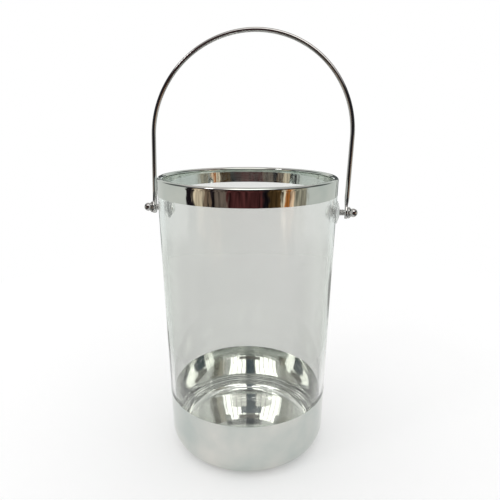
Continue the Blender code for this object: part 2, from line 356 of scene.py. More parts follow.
# %% Tone, roughness and ripples
def tinted(tree, shader, value, light, deep):
    """Base colour between two close tones, by a noise value."""
    tone = mixed(tree, spread(tree, value, 0.0, 1.0), light, deep)
    tree.links.new(tone, shader.inputs["Base Color"])


def dulled(tree, shader, value, least, most):
    """Roughness between two numbers, by a noise value."""
    tree.links.new(spread(tree, value, least, most), shader.inputs["Roughness"])


def rippled(tree, shader, value, strength, distance):
    """Bump from a noise value: strength is 0 to 1, distance in metres."""
    node = tree.nodes.new("ShaderNodeBump")
    node.inputs["Strength"].default_value = strength
    node.inputs["Distance"].default_value = distance
    tree.links.new(value, node.inputs["Height"])
    tree.links.new(node.outputs["Normal"], shader.inputs["Normal"])


# %% Clear glass
# Glass tones: deeper than the glass's own faint grey-green cast, painted shade of the
# surroundings seen through the walls.
GLASS_CAST_AND_PAINTED_SHADE_TONES = (0.80, 0.81, 0.79), (0.83, 0.835, 0.82)


def make_glass_finish():
    """Clear glass with mould draw lines that run up the wall, tinted grey-green. The tint is
    partly the glass's own cast and partly painted shade of the surroundings seen through it.
    """
    material, tree, shader = new_finish("clear_pressed_glass", Transmission_Weight=1.0,
                                        IOR=1.5, Roughness=0.0)
    tinted(tree, shader, stretched_noise(tree, 18.0, (1, 1, 0.12)), *GLASS_CAST_AND_PAINTED_SHADE_TONES)
    draw_lines = stretched_noise(tree, 60.0, (1, 1, 0.08), detail=1.0)
    rippled(tree, shader, draw_lines, strength=0.06, distance=0.4 * MM)
    return material


GLASS_FINISH = make_glass_finish()
print("finish:", GLASS_FINISH.name)

# %% Silvering
# Outer silver tones: their darker grey-green is partly the plating's own colour and partly a
# painted reflection of pale grey-green surroundings. The mirror tones behind the glass are the
# plating's own.
SILVER_AND_PAINTED_REFLECTION_TONES = (0.675, 0.668, 0.628), (0.51, 0.55, 0.523)
MIRROR_TONES = (0.95, 0.95, 0.945), (0.92, 0.925, 0.915)


def make_silver_finish(name, tones, haze_range, wave):
    """Mirror plating: two close tones, hazy patches and a very slow waviness.

    haze_range is the least and the most roughness, wave the strength of the waviness.
    """
    material, tree, shader = new_finish(name, Metallic=1.0)
    tinted(tree, shader, stretched_noise(tree, 34.0, (1, 1, 1), detail=3.0), *tones)
    dulled(tree, shader, stretched_noise(tree, 70.0, (1, 1, 0.5), detail=4.0), *haze_range)
    slow_wave = stretched_noise(tree, 22.0, (1, 1, 0.35), detail=1.0)
    rippled(tree, shader, slow_wave, strength=wave, distance=0.6 * MM)
    return material


# The outer face's finish carries that painted reflection in its tones.
SILVER_FINISH = make_silver_finish("silver_plating", SILVER_AND_PAINTED_REFLECTION_TONES, (0.012, 0.045), 0.12)
MIRROR_FINISH = make_silver_finish("silver_behind_glass", MIRROR_TONES, (0.002, 0.016), 0.30)
print("finishes:", SILVER_FINISH.name, MIRROR_FINISH.name)

# %% Chrome and soft plastic
CHROME_TONES = (0.50, 0.49, 0.48), (0.42, 0.41, 0.40)
# Cap nut tones: the same plating painted brighter, painted light that makes up for the tinted
# glass in front of the nuts.
PLATING_PAINTED_LIGHTER_TONES = (0.95, 0.95, 0.93), (0.89, 0.89, 0.87)
MILKY_TONES = (0.95, 0.97, 0.95), (0.88, 0.92, 0.89)


def make_plated_finish(name, tones, dull_range):
    """Polished plating with fine lines and a few duller spots.

    dull_range is the least and the most roughness.
    """
    material, tree, shader = new_finish(name, Metallic=1.0)
    wear = stretched_noise(tree, 300.0, (1, 1, 0.3), detail=4.0)
    tinted(tree, shader, wear, *tones)
    dulled(tree, shader, wear, *dull_range)
    fine_lines = stretched_noise(tree, 900.0, (1, 1, 0.2))
    rippled(tree, shader, fine_lines, strength=0.08, distance=0.05 * MM)
    return material


def make_soft_finish():
    """Milky soft plastic that lets some light through."""
    material, tree, shader = new_finish("milky_soft_plastic", Transmission_Weight=0.35,
                                        IOR=1.46)
    cloud = stretched_noise(tree, 240.0, (1, 1, 1), detail=3.0)
    tinted(tree, shader, cloud, *MILKY_TONES)
    dulled(tree, shader, cloud, 0.30, 0.42)
    rippled(tree, shader, cloud, strength=0.1, distance=0.1 * MM)
    return material


CHROME_FINISH = make_plated_finish("dark_chrome", CHROME_TONES, (0.04, 0.11))
# The cap nuts' finish is the same plating painted brighter, to make up for the tinted glass in
# front of them.
PLATING_PAINTED_LIGHTER_FINISH = make_plated_finish("bright_nickel", PLATING_PAINTED_LIGHTER_TONES, (0.14, 0.26))
SOFT_FINISH = make_soft_finish()
print("finishes:", CHROME_FINISH.name, PLATING_PAINTED_LIGHTER_FINISH.name, SOFT_FINISH.name)

# %% Joining the frame
def hang(obj, body, slot, *nodes):
    """Ride a finished piece on a CAD body, in the place of CAD nodes."""
    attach(obj, body)
    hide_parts(*nodes)
    print(f"{obj.name} rides on {body} in the place of {', '.join(nodes)}")


# %% [markdown]
# ## The glass
#
# A real one is pressed or blown in a mould: it tapers by a degree so that it lets go, its
# floor is thick, and the rim is melted round in a flame. One outline describes it, from the
# middle of the floor, up the inner wall, over the rim, down the outer wall and under the
# base. The inner wall carries faint waves, because only the outer side touches the mould.
# The two holes for the screws are drilled afterwards, as on the real one.

# %% The outline of the wall
VESSEL_COLUMNS = 192


def wall_radius(height, offset=0.0):
    """Outer radius of the glass: the rim radius less the draft, moved out by an offset."""
    drop = GLASS_TOP - height
    return GLASS_RADIUS - drop * np.tan(DRAFT) + offset / np.cos(DRAFT)


def wall_run(low, high, offset, steps):
    """Points up the slanted wall between two heights."""
    return run((wall_radius(low, offset), low), (wall_radius(high, offset), high), steps)


def wall_arc(height, depth, radius, first, last, steps):
    """An arc whose centre lies at a height, at a depth into the glass from outside."""
    return bend((wall_radius(height, -depth), height), radius, first, last, steps)


def base_corner(offset):
    """The rounded corner from the outer wall to the underside."""
    return wall_arc(GLASS_BOTTOM + BASE_CORNER, BASE_CORNER, BASE_CORNER + offset,
                    -DRAFT, -np.pi / 2, 28)


def rim_roll(offset):
    """The half-round top of the wall, from its inner to its outer side."""
    return wall_arc(GLASS_TOP - WALL / 2, WALL / 2, WALL / 2 + offset,
                    np.pi - DRAFT, -DRAFT, 20)


def floor_corner():
    """The hollow fillet from the floor to the inner wall."""
    return wall_arc(FLOOR_HEIGHT + FLOOR_FILLET, WALL + FLOOR_FILLET, FLOOR_FILLET,
                    -np.pi / 2, -DRAFT, 16)


def underside(foot):
    """From the end of the corner to the axis, with a shallow punt in the middle.

    With s the distance from the axis over the punt's radius, the punt rises as
    (1 - s ** power) squared, which is flat in the middle and at its edge.
    """
    radius = np.linspace(foot[-1, 0], 0, 49)
    rise = PUNT_RISE * (1 - np.clip(radius / PUNT_RADIUS, 0, 1) ** PUNT_POWER) ** 2
    return np.stack([radius, foot[-1, 1] + rise], axis=1)


print(f"underside {2 * base_corner(0)[-1, 0] / MM:.1f} mm across inside the corner")

# %% The glass body
WAVE_DEPTH = 0.03 * MM
WAVE_FADE = 20.0 * MM
ON_WALL = 0.05 * MM
# Each wave: its share of the depth, its number round the axis, its start and its drift.
WAVES = ((1.0, 5, 0.9, 20), (0.7, 9, 2.1, -33), (0.5, 16, 4.0, 15))


def inner_waves(angle, height):
    """Waves of the inner wall: three sines round the axis that drift with the height."""
    return WAVE_DEPTH * sum(share * np.sin(count * angle + start + drift * height)
                            for share, count, start, drift in WAVES)


def make_glass():
    """The vessel: a turned outline with waves added on the inner wall."""
    corner, roll, foot = floor_corner(), rim_roll(0), base_corner(0)
    outline = join(run((0, FLOOR_HEIGHT), corner[0], 24), corner,
                   wall_run(corner[-1, 1], roll[0, 1], -WALL, 70), roll,
                   wall_run(roll[-1, 1], foot[0, 1], 0, 70), foot,
                   underside(foot))
    grid = turned(outline, VESSEL_COLUMNS)
    angle = np.arctan2(grid[..., 1], grid[..., 0])
    radius, height = np.hypot(grid[..., 0], grid[..., 1]), grid[..., 2]
    inner = np.abs(radius - wall_radius(height, -WALL)) < ON_WALL
    ease = np.clip((height - corner[-1, 1]) / WAVE_FADE, 0, 1) * np.clip(
        (BAND_FOOT - height) / WAVE_FADE, 0, 1)
    swell = 1 + inner * ease * inner_waves(angle, height) / np.maximum(radius, MM)
    grid[..., :2] *= swell[..., None]
    return make_skin("pressed_glass_body", grid, False, GLASS_FINISH)


def drill(obj, low, high, radius):
    """Bore a round hole along the pivot axis, and leave plain mesh data behind."""
    start, end, side = in_mm(low, high, radius)
    bit = filleted([(start, 0, 0), (start, side, 0), (end, side, 0), (end, 0, 0)])
    tool = make_skin("drill_bit", turned_on_pivot(bit), False, obj.data.materials[0])
    cut = obj.modifiers.new("bore", "BOOLEAN")
    cut.operation, cut.solver, cut.object = "DIFFERENCE", "EXACT", tool
    graph = bpy.context.evaluated_depsgraph_get()
    bored = bpy.data.meshes.new_from_object(obj.evaluated_get(graph))
    obj.modifiers.clear()
    obj.data = bored
    bpy.data.objects.remove(tool, do_unlink=True)


glass = make_glass()
drill(glass, -RIM_RADIUS * 1.1, RIM_RADIUS * 1.1, HOLE_RADIUS)
hang(glass, "bucket", "clear_glass", "glass_vessel")

# %% [markdown]
# ## The silvering
#
# The coats follow the same wall, so their outlines come from the same functions with an
# offset. Each is a thin closed shell: out along the face that shows, and back along the face
# that is bonded to the glass. The bonded face is the brighter mirror, laid down on polished
# glass. The outer face is darker and grey-green: its tone is partly the plating's own and
# partly a painted reflection of pale grey-green surroundings. So the two faces get a finish
# each.

# %% The two coats
def make_coat(name, shown, bonded, rows_wrap):
    """A thin shell from its shown face and its bonded face, both in the same order.

    The faces come row by row, so a face's number over the number of columns tells which
    row it is in. The rows past the edge of the shown face are the bonded ones.
    """
    outline = np.concatenate([shown, bonded[::-1]])
    coat = make_skin(name, turned(outline, VESSEL_COLUMNS), rows_wrap, SILVER_FINISH, 50)
    coat.data.materials.append(MIRROR_FINISH)
    row = np.arange(len(coat.data.polygons)) // VESSEL_COLUMNS
    edge_row = len(shown) - (1 if rows_wrap else 2)
    closing_row = len(outline) - (1 if rows_wrap else 3)
    inner = (row > edge_row) & (row != closing_row)
    coat.data.polygons.foreach_set("material_index", inner.astype(np.int32))
    print(f"{name}: {inner.sum()} bonded faces of {len(inner)}")
    return coat


def rim_face(offset):
    """The band from its inner foot over the rim to its outer foot."""
    roll = rim_roll(offset)
    return join(wall_run(BAND_FOOT, roll[0, 1], -WALL - offset, 10), roll,
                wall_run(roll[-1, 1], BAND_FOOT, offset, 10))


def base_face(offset):
    """The cup from the middle of the underside up to its edge on the wall."""
    foot = base_corner(offset)
    return join(wall_run(BASE_EDGE, foot[0, 1], offset, 28), foot, underside(foot))[::-1]


rim_coat = make_coat("rim_silver", rim_face(COAT), rim_face(-COAT_ROOT), True)
hang(rim_coat, "bucket", "silvering", "rim_silvering")
base_coat = make_coat("base_silver", base_face(COAT), base_face(-COAT_ROOT), False)
hang(base_coat, "bucket", "silvering", "base_silvering")

# %% [markdown]
# ## The bail
#
# The bail is one piece of 3 mm wire, bent to a half circle with two straight legs. Each end
# is hammered flat to a round paddle and pierced, which makes the eye that turns on the screw.
# The wire is a section carried along a path: the section is a rounded rectangle at the paddle
# and a circle everywhere else, and its half width follows the round outline of the paddle.

# %% Sizes of the wire
WIRE_RADIUS = 1.5 * MM
EYE_RADIUS = 4.1 * MM
EYE_HALF = 0.8 * MM
NECK_HALF = 2.9 * MM
NECK_RISE = 10.0 * MM
NECK_BLEND = 0.5 * MM
LEG_SOFTNESS = 0.9 * MM
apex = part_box("bail_handle")[1]
LEAN = np.arctan2(apex.y - WIRE_RADIUS, apex.z - WIRE_RADIUS - PIVOT)
RISE = np.hypot(apex.y - WIRE_RADIUS, apex.z - WIRE_RADIUS - PIVOT)
BOW_RADIUS = apex.x - WIRE_RADIUS
BOW_HEIGHT = RISE - BOW_RADIUS
print(f"bail: {RISE / MM:.1f} mm high, bow radius {BOW_RADIUS / MM:.1f} mm, "
      f"leans {np.degrees(LEAN):.1f} degrees")

# %% The path of the wire
TIP_ANGLE = 0.09


def leg_tilt():
    """Angle from the vertical of the tangent from the eye's neck to the bow's circle."""
    drop = BOW_HEIGHT - EYE_RADIUS
    reach = np.hypot(EYE_X, drop)
    return np.pi / 2 - np.arctan2(drop, -EYE_X) + np.arcsin(BOW_RADIUS / reach)


def bail_path():
    """Middle line of the wire in its own plane, from the right paddle's tip.

    The paddle's rows are spaced as a cosine, so that its outline closes round. The leg
    turns from upright to its tilt over a few millimetres, as a soft ramp of the height.
    """
    tilt = leg_tilt()
    bow = bend((0, BOW_HEIGHT), BOW_RADIUS, -tilt, np.pi / 2, 90)
    paddle = -EYE_RADIUS * np.cos(np.linspace(TIP_ANGLE, np.pi, 25))
    neck = np.linspace(EYE_RADIUS, bow[0, 1], 46)[1:]
    height = np.concatenate([paddle, neck])
    ramp = LEG_SOFTNESS * np.logaddexp(0, (height - EYE_RADIUS) / LEG_SOFTNESS)
    leg = np.stack([EYE_X + np.tan(tilt) * ramp, height], axis=1)
    half = join(leg, bow)
    return np.concatenate([half, (half * [-1, 1])[-2::-1]])


print(f"legs tilted by {np.degrees(leg_tilt()):.1f} degrees, {len(bail_path())} rows of wire")

# %% The section along the wire
WIRE_COLUMNS = 32
ROUND_POWER, PADDLE_POWER = 2, 5


def smooth_step(value, low, high):
    """Rises from 0 to 1 between two values along a cubic."""
    share = np.clip((value - low) / (high - low), 0, 1)
    return share * share * (3 - 2 * share)


def wire_halves(height):
    """Half thickness, half width and squareness of the section at a height over the eye.

    The width is the larger of the round paddle and of the neck that narrows from it,
    blended with a smooth maximum: the mean plus half the rounded difference.
    """
    ease = smooth_step(height, 0.5 * EYE_RADIUS, NECK_RISE)
    thick = EYE_HALF + (WIRE_RADIUS - EYE_HALF) * ease
    narrowing = smooth_step(height, 0.4 * EYE_RADIUS, NECK_RISE)
    neck = NECK_HALF + (WIRE_RADIUS - NECK_HALF) * narrowing
    neck = neck * smooth_step(height, -0.2 * EYE_RADIUS, 0.6 * EYE_RADIUS)
    paddle = np.sqrt(np.maximum(EYE_RADIUS ** 2 - height ** 2, 0))
    soft = np.hypot(paddle - neck, NECK_BLEND * smooth_step(height, 0, EYE_RADIUS))
    width = np.where(height > NECK_RISE, WIRE_RADIUS, (paddle + neck + soft) / 2)
    return thick, width, ROUND_POWER + (PADDLE_POWER - ROUND_POWER) * (1 - ease)


def make_bail():
    """Carry the section along the path, then lean the whole bail on its pivots.

    The section is a rounded rectangle: cosine and sine, each to the power of 2 over the
    squareness, times the half thickness and the half width.
    """
    path = bail_path()
    run_along = np.gradient(path, axis=0)
    run_along /= np.linalg.norm(run_along, axis=1)[:, None]
    across = np.stack([run_along[:, 1], -run_along[:, 0]], axis=1)
    thick, width, power = (half[:, None] for half in wire_halves(path[:, 1]))
    angle = np.linspace(0, 2 * np.pi, WIRE_COLUMNS, endpoint=False)[None]
    first = thick * np.sign(np.cos(angle)) * np.abs(np.cos(angle)) ** (2 / power)
    second = width * np.sign(np.sin(angle)) * np.abs(np.sin(angle)) ** (2 / power)
    x = path[:, :1] + across[:, :1] * first
    up = path[:, 1:] + across[:, 1:] * first
    y = second * np.cos(LEAN) + up * np.sin(LEAN)
    z = up * np.cos(LEAN) - second * np.sin(LEAN)
    grid = np.stack([x, y, PIVOT + z], axis=-1)
    ends = [np.repeat(row.mean(axis=1)[:, None], WIRE_COLUMNS, axis=1)
            for row in (grid[:1], grid[-1:])]
    return make_skin("bail_wire", np.concatenate([ends[0], grid, ends[1]]), False,
                     CHROME_FINISH)


SIDES = {"right": 1, "left": -1}
bail = make_bail()
for way in SIDES.values():
    drill(bail, *sorted([way * (EYE_X - 3 * EYE_HALF), way * (EYE_X + 3 * EYE_HALF)]),
          BORE_RADIUS)
hang(bail, "bail", "chrome", "bail_handle")

# %% [markdown]
# ## The pivot hardware
#
# Each screw goes through washer, eye, sleeve, grommet, glass and pad into a cap nut. All of
# these are turned parts, so each is an outline about the pivot axis. The outlines are written
# for the right side, and the left side is the same grid turned half round. The soft parts
# lie against a round wall: their rows are pushed along the axis by as much as the wall
# falls away from its value on the axis.

# %% Ball-headed screws
WASHER_GAP = 0.10 * MM
BALL_RADIUS = 2.8 * MM
BALL_NECK = 2.5 * MM
COLLAR_RADIUS = 3.8 * MM
COLLAR_DEPTH = 0.45 * MM


def hang_side(side, name, node, slot, grid, rows_wrap, material, sharp=40.0):
    """A piece for one side; the left one is the right one turned half round Z."""
    turned_round = grid * np.array([SIDES[side], SIDES[side], 1.0])
    piece = make_skin(name + side, turned_round, rows_wrap, material, sharp)
    hang(piece, "bucket", slot, node + side)


def screw_outline():
    """From the end of the shank over the collar, the cone and the neck to the ball."""
    end, shank, collar, face = in_mm(SHANK_END, SHANK_RADIUS, WASHER_END + WASHER_GAP,
                                     WASHER_END + WASHER_GAP + COLLAR_DEPTH)
    rim, neck, ball_end, ball = in_mm(COLLAR_RADIUS, BALL_NECK, BALL_END, BALL_RADIUS)
    start = np.pi - np.arcsin(neck / ball)
    foot = ball_end - ball + ball * np.cos(start)
    body = filleted([(end, 0, 0), (end, shank, 0.25), (collar, shank, 0), (collar, rim, 0.15),
                     (face, rim - 0.05, 0.2), (foot - 0.15, neck + 0.12, 0.25),
                     (foot, neck, 0)])
    head = bend((BALL_END - BALL_RADIUS, 0), BALL_RADIUS, start, 0, 28)
    head[-1, 1] = 0
    return join(body, head)


for side in SIDES:
    hang_side(side, "ball_screw_", "pivot_screw_", "chrome",
              turned_on_pivot(screw_outline()), False, CHROME_FINISH)

# %% Washers and sleeves
SEATING = 0.05 * MM
RING_DEPTH = 0.05 * MM
RING_PITCH = 0.5 * MM
SLEEVE_END_LAND = 0.2 * MM


def washer_outline():
    """A thin stamped ring with rolled edges."""
    low, high = in_mm(WASHER_START - SEATING, WASHER_END + SEATING)
    inner, outer = in_mm(BORE_RADIUS, WASHER_RADIUS)
    return filleted([(low, inner, 0.1), (low, outer, 0.2), (high, outer, 0.2),
                     (high, inner, 0.1)], closed=True)


def sleeve_outline():
    """A short tube with fine turned rings: a cosine of the distance along it."""
    low, high = GROMMET_END + SEATING, SLEEVE_END + SEATING
    along = np.linspace(low + SLEEVE_END_LAND, high - SLEEVE_END_LAND, 61)
    turns = (along - along[0]) / RING_PITCH
    rings = SLEEVE_RADIUS - RING_DEPTH * (1 - np.cos(2 * np.pi * turns))
    lip, inner, chamfer = SLEEVE_RADIUS - 0.15 * MM, BORE_RADIUS, 0.05 * MM
    ends = [[high, lip], [high, inner + chamfer], [high - chamfer, inner],
            [low + chamfer, inner], [low, inner + chamfer], [low, lip]]
    return np.concatenate([np.stack([along, rings], axis=1), ends])


for side in SIDES:
    hang_side(side, "stamped_washer_", "retaining_washer_", "chrome",
              turned_on_pivot(washer_outline()), True, CHROME_FINISH)
    hang_side(side, "ringed_sleeve_", "spacer_sleeve_", "chrome",
              turned_on_pivot(sleeve_outline()), True, CHROME_FINISH)

# %% Grommets outside and pads inside
CONE_TIP_RADIUS = 2.9 * MM
CONE_LIP = 0.7 * MM
GLASS_GAP = 0.03 * MM
SPIGOT_SHORT = 0.2 * MM


def hugging(grid, offset, share):
    """Push rows along X by the wall's fall from its place on the pivot axis.

    The wall's distance along X at a point is the square root of its radius at that height
    squared less y squared. share is 1 for a row that lies on the wall and 0 for a flat row.
    """
    wall = np.sqrt(wall_radius(grid[..., 2], offset) ** 2 - grid[..., 1] ** 2)
    grid[..., 0] += share[:, None] * (wall - wall_radius(PIVOT, offset))
    return grid


def grommet_grid():
    """A shallow cone on the outer wall whose spigot lines the hole in the glass."""
    wall, tip, inner = in_mm(wall_radius(PIVOT) + GLASS_GAP, GROMMET_END,
                             wall_radius(PIVOT, -WALL) + SPIGOT_SHORT)
    lip, top, rim = wall + CONE_LIP / MM, CONE_TIP_RADIUS / MM, GROMMET_RADIUS / MM
    bore, spigot = in_mm(BORE_RADIUS, SPIGOT_RADIUS)
    outline = filleted([(inner, bore, 0.1), (tip, bore, 0.1), (tip, top, 0.35),
                        (lip, rim, 0.3), (wall, rim, 0.15), (wall, spigot, 0.1),
                        (inner, spigot, 0.2)], closed=True)
    along, radius = outline.T / MM
    share = np.clip((radius - top) / (rim - top), 0, 1)
    share = np.where((along < wall + 0.2) & (radius > spigot + 0.15), 1.0, share)
    return hugging(turned_on_pivot(outline), 0, share)


def pad_grid():
    """A soft washer whose outer side follows the inner wall."""
    wall, start, rim, bore = in_mm(wall_radius(PIVOT, -WALL) - GLASS_GAP, PAD_START,
                                   PAD_RADIUS, BORE_RADIUS)
    outline = filleted([(start, bore, 0.1), (wall, bore, 0.1), (wall, rim, 0.3),
                        (start, rim, 0.4)], closed=True)
    share = np.clip((outline[:, 0] / MM - start) / (wall - start), 0, 1)
    return hugging(turned_on_pivot(outline), -WALL, share)


for side in SIDES:
    hang_side(side, "coned_grommet_", "outer_grommet_", "clear_rubber", grommet_grid(),
              True, SOFT_FINISH)
    hang_side(side, "soft_pad_", "inner_pad_", "clear_rubber", pad_grid(), True, SOFT_FINISH)

# %% Cap nuts
NUT_COLUMNS = 96
NUT_FLATS = 7.0 * MM
NUT_CHAMFER = 0.35 * MM
DOME_HEIGHT = 1.0 * MM
DOME_RADIUS = 3.0 * MM


def nut_grid():
    """A hexagon under a dome.

    The radius is the smaller of a turned outline, which has the chamfers and the dome, and
    of the hexagon: half the width across flats over the cosine of the angle from a flat.
    """
    corner_radius = NUT_FLATS / 2 / np.cos(np.pi / 6)
    face, corner, bore, cut = in_mm(NUT_OPEN_END, corner_radius, BORE_RADIUS, NUT_CHAMFER)
    shoulder, dome_foot = in_mm(NUT_DOME_END + DOME_HEIGHT, DOME_RADIUS)
    blunt = filleted([(shoulder, 0, 0), (shoulder, bore, 0.1), (face, bore, 0.1),
                      (face, corner - cut, 0.1), (face - cut, corner + 0.05, 0.1),
                      (shoulder + 0.3, corner + 0.05, 0.1), (shoulder, dome_foot + 0.05, 0.1)])
    angle = np.linspace(0, np.pi / 2, 20)[1:]
    dome = np.stack([shoulder * MM - DOME_HEIGHT * np.sin(angle),
                     DOME_RADIUS * np.cos(angle)], axis=1)
    dome[-1, 1] = 0
    grid = turned_on_pivot(join(blunt, dome), NUT_COLUMNS)
    around = np.linspace(0, 2 * np.pi, NUT_COLUMNS, endpoint=False)
    flat = NUT_FLATS / 2 / np.cos((around + np.pi / 6) % (np.pi / 3) - np.pi / 6)
    radius = np.hypot(grid[..., 1], grid[..., 2] - PIVOT)
    shrink = np.minimum(1, flat[None] / np.maximum(radius, 1e-9))
    grid[..., 1] *= shrink
    grid[..., 2] = PIVOT + (grid[..., 2] - PIVOT) * shrink
    return grid


for side in SIDES:
    hang_side(side, "domed_nut_", "cap_nut_", "chrome", nut_grid(), False, PLATING_PAINTED_LIGHTER_FINISH, 25)

# %% [markdown]
# ## The studio
#
# Mirror and glass show nothing but their surroundings, so the surroundings are part of the
# look. The bucket stands on a round white table in an even white light. The camera, the
# clear glass and the table see the world as plain white. Only a ray that has been mirrored
# sees the set round the table. Open metal sees dark and coloured screens in front, between a
# dark apron and a dark curtain, a pale tent at the sides, and a grey ceiling with a soft box.
# They draw the strip on the front of the rim and the dark line on the lip and down the wire.
# The silver behind the glass sees bright windows over the screens, parted by a post and a
# beam, which make the white patches deep in the foot. A lamp for each patch could do the
# same, but then each lamp would also light the table.

# %% The table
TABLE_RADIUS = 0.5
TABLE_MIDDLE = 0.12
TABLE_FADE = 1.6
TABLE_WHITE = 0.86
# A count of bounces is over the first number after one, over the second after two.
ONCE, TWICE = 0.5, 1.5


def end_in_mirrors(tree, shader):
    """Let a mirrored ray pass the table beyond its middle, so that it meets the set."""
    link = tree.links.new
    place = tree.nodes.new("ShaderNodeTexCoord")
    reach = tree.nodes.new("ShaderNodeVectorMath")
    reach.operation = "LENGTH"
    link(place.outputs["Object"], reach.inputs[0])
    fade = mapped(tree, reach.outputs["Value"], TABLE_MIDDLE, TABLE_MIDDLE * TABLE_FADE)
    bounces = tree.nodes.new("ShaderNodeLightPath").outputs["Glossy Depth"]
    mirrored = figured(tree, "GREATER_THAN", bounces, ONCE)
    clear = tree.nodes.new("ShaderNodeBsdfTransparent")
    mix = tree.nodes.new("ShaderNodeMixShader")
    link(figured(tree, "MULTIPLY", fade, mirrored), mix.inputs["Fac"])
    link(shader.outputs["BSDF"], mix.inputs[1])
    link(clear.outputs["BSDF"], mix.inputs[2])
    link(mix.outputs["Shader"], tree.nodes["Material Output"].inputs["Surface"])


def make_table():
    """A white disc. What it reflects of the white world and what it glows add up to 1."""
    angle = np.linspace(0, 2 * np.pi, 96, endpoint=False)
    rim = np.stack([np.cos(angle), np.sin(angle), 0 * angle], axis=1) * TABLE_RADIUS
    mesh = bpy.data.meshes.new("white_table")
    mesh.from_pydata(rim.tolist(), [], [list(range(len(rim)))])
    material, tree, shader = new_finish(
        "white_table_top", Roughness=1.0, Specular_IOR_Level=0.0,
        Base_Color=(TABLE_WHITE, TABLE_WHITE, TABLE_WHITE, 1.0),
        Emission_Color=(1.0, 1.0, 1.0, 1.0), Emission_Strength=1.0 - TABLE_WHITE)
    end_in_mirrors(tree, shader)
    mesh.materials.append(material)
    table = bpy.data.objects.new("white_table", mesh)
    bpy.context.scene.collection.objects.link(table)
    print(f"table: {2 * TABLE_RADIUS:.1f} m across, whiteness {TABLE_WHITE}")


make_table()

# %% [markdown]
# ## The sky of the mirrors
#
# The set is painted on the sky by direction. Two angles name one: azimuth from the front
# towards the right, and elevation from the table, in degrees. Smooth steps of them cut
# patches, a colour ramp along the azimuth makes a row of screens, and a little noise on it
# makes their edges hang as cloth does. Modelled screens would be seen by the camera too.

# %% Nodes for the sky
world = bpy.data.worlds.new("tent_and_room")
bpy.context.scene.world = world
world.use_nodes = True
world.cycles.sampling_method = "NONE"
sky = world.node_tree
sky.nodes.clear()
sky_math, sky_mix = partial(figured, sky), partial(mixed, sky)


def edge(value, low, high):
    """0 at one value, 1 at the other, smooth between them."""
    return mapped(sky, value, low, high, way="SMOOTHSTEP")


def within(value, low, high, soft):
    """1 between two values and 0 outside, with soft edges."""
    return sky_math("MULTIPLY", edge(value, low - soft, low + soft),
                    edge(value, high + soft, high - soft))


def screens(azimuth, strips, soft):
    """A colour by azimuth from strips of (first degree, last degree, colour)."""
    node = sky.nodes.new("ShaderNodeValToRGB")
    stops = node.color_ramp.elements
    stops.remove(stops[-1])
    tones = [(place, tone) for first, last, tone in strips
             for place in (first + soft, last - soft)]
    for index, (place, tone) in enumerate(tones):
        share = (place + 180) / 360
        stop = stops.new(share) if index else stops[0]
        stop.position, stop.color = share, (*tone, 1.0)
    turn_share = sky_math("DIVIDE", sky_math("ADD", azimuth, 180.0), 360.0)
    sky.links.new(turn_share, node.inputs["Fac"])
    return node.outputs["Color"]


# %% The directions of the sky
compass = sky.nodes.new("ShaderNodeTexCoord").outputs["Generated"]
parts = sky.nodes.new("ShaderNodeSeparateXYZ")
sky.links.new(compass, parts.inputs["Vector"])
AZIMUTH = sky_math("DEGREES", sky_math("ARCTAN2", parts.outputs["X"],
                                       sky_math("MULTIPLY", parts.outputs["Y"], -1.0)))
ELEVATION = sky_math("DEGREES", sky_math("ARCSINE", parts.outputs["Z"]))


def patch(first, last, bottom, top, side_soft, end_soft):
    """1 between two azimuths and two elevations, with soft sides and ends."""
    return sky_math("MULTIPLY", within(AZIMUTH, first, last, side_soft),
                    within(ELEVATION, bottom, top, end_soft))


print("sky: two angles from", len(sky.nodes), "nodes")

# %% Drapes
def sky_noise(scale, stretch, amount):
    """Noise on the direction: positive and negative, up to about half the amount."""
    noise = stretched_noise(sky, scale, stretch, place=compass)
    return sky_math("MULTIPLY", sky_math("SUBTRACT", noise, 0.5), amount)


WAVY = sky_math("ADD", AZIMUTH, sky_noise(13.0, (1, 1, 2.4), 15.0))
FOLDS = sky_noise(16.0, (1, 1, 0.9), 3.2)
print("drapes: screens with wavy edges and soft folds")

# %% Colours of the set
TENT = (0.75, 0.775, 0.745)
SIDE_TENT = (0.88, 0.93, 0.92)
TWICE_TENT = (1.35, 1.42, 1.40)
GAP = (0.015, 0.011, 0.014)
SAND = (0.80, 0.66, 0.49)
DRAPE = (0.030, 0.028, 0.034)
SIDE_DRAPE = (0.13, 0.14, 0.14)
PALE_APRON = (0.62, 0.64, 0.61)
DARK_APRON = (0.10, 0.10, 0.10)
FLOOR = (0.30, 0.28, 0.24)
BACK = (0.10, 0.11, 0.11)
UPPER_TENT = (0.95, 0.97, 0.94)
UPPER_BACK = (0.60, 0.63, 0.60)
CEILING = (0.72, 0.74, 0.73)
OVERHEAD = (0.66, 0.62, 0.62)
SOFT_BOX = (2.6, 2.55, 2.45)
WINDOW = (4.0, 4.0, 3.9)
PANE = (1.45, 1.43, 1.36)
BAR = (0.3, 0.3, 0.27)
POST = (0.085, 0.125, 0.16)
BEAM = (0.22, 0.20, 0.17)
SHADE = (0.02, 0.03, 0.03)
print(f"brightest tone {max(WINDOW)}, darkest tone {min(GAP)}")

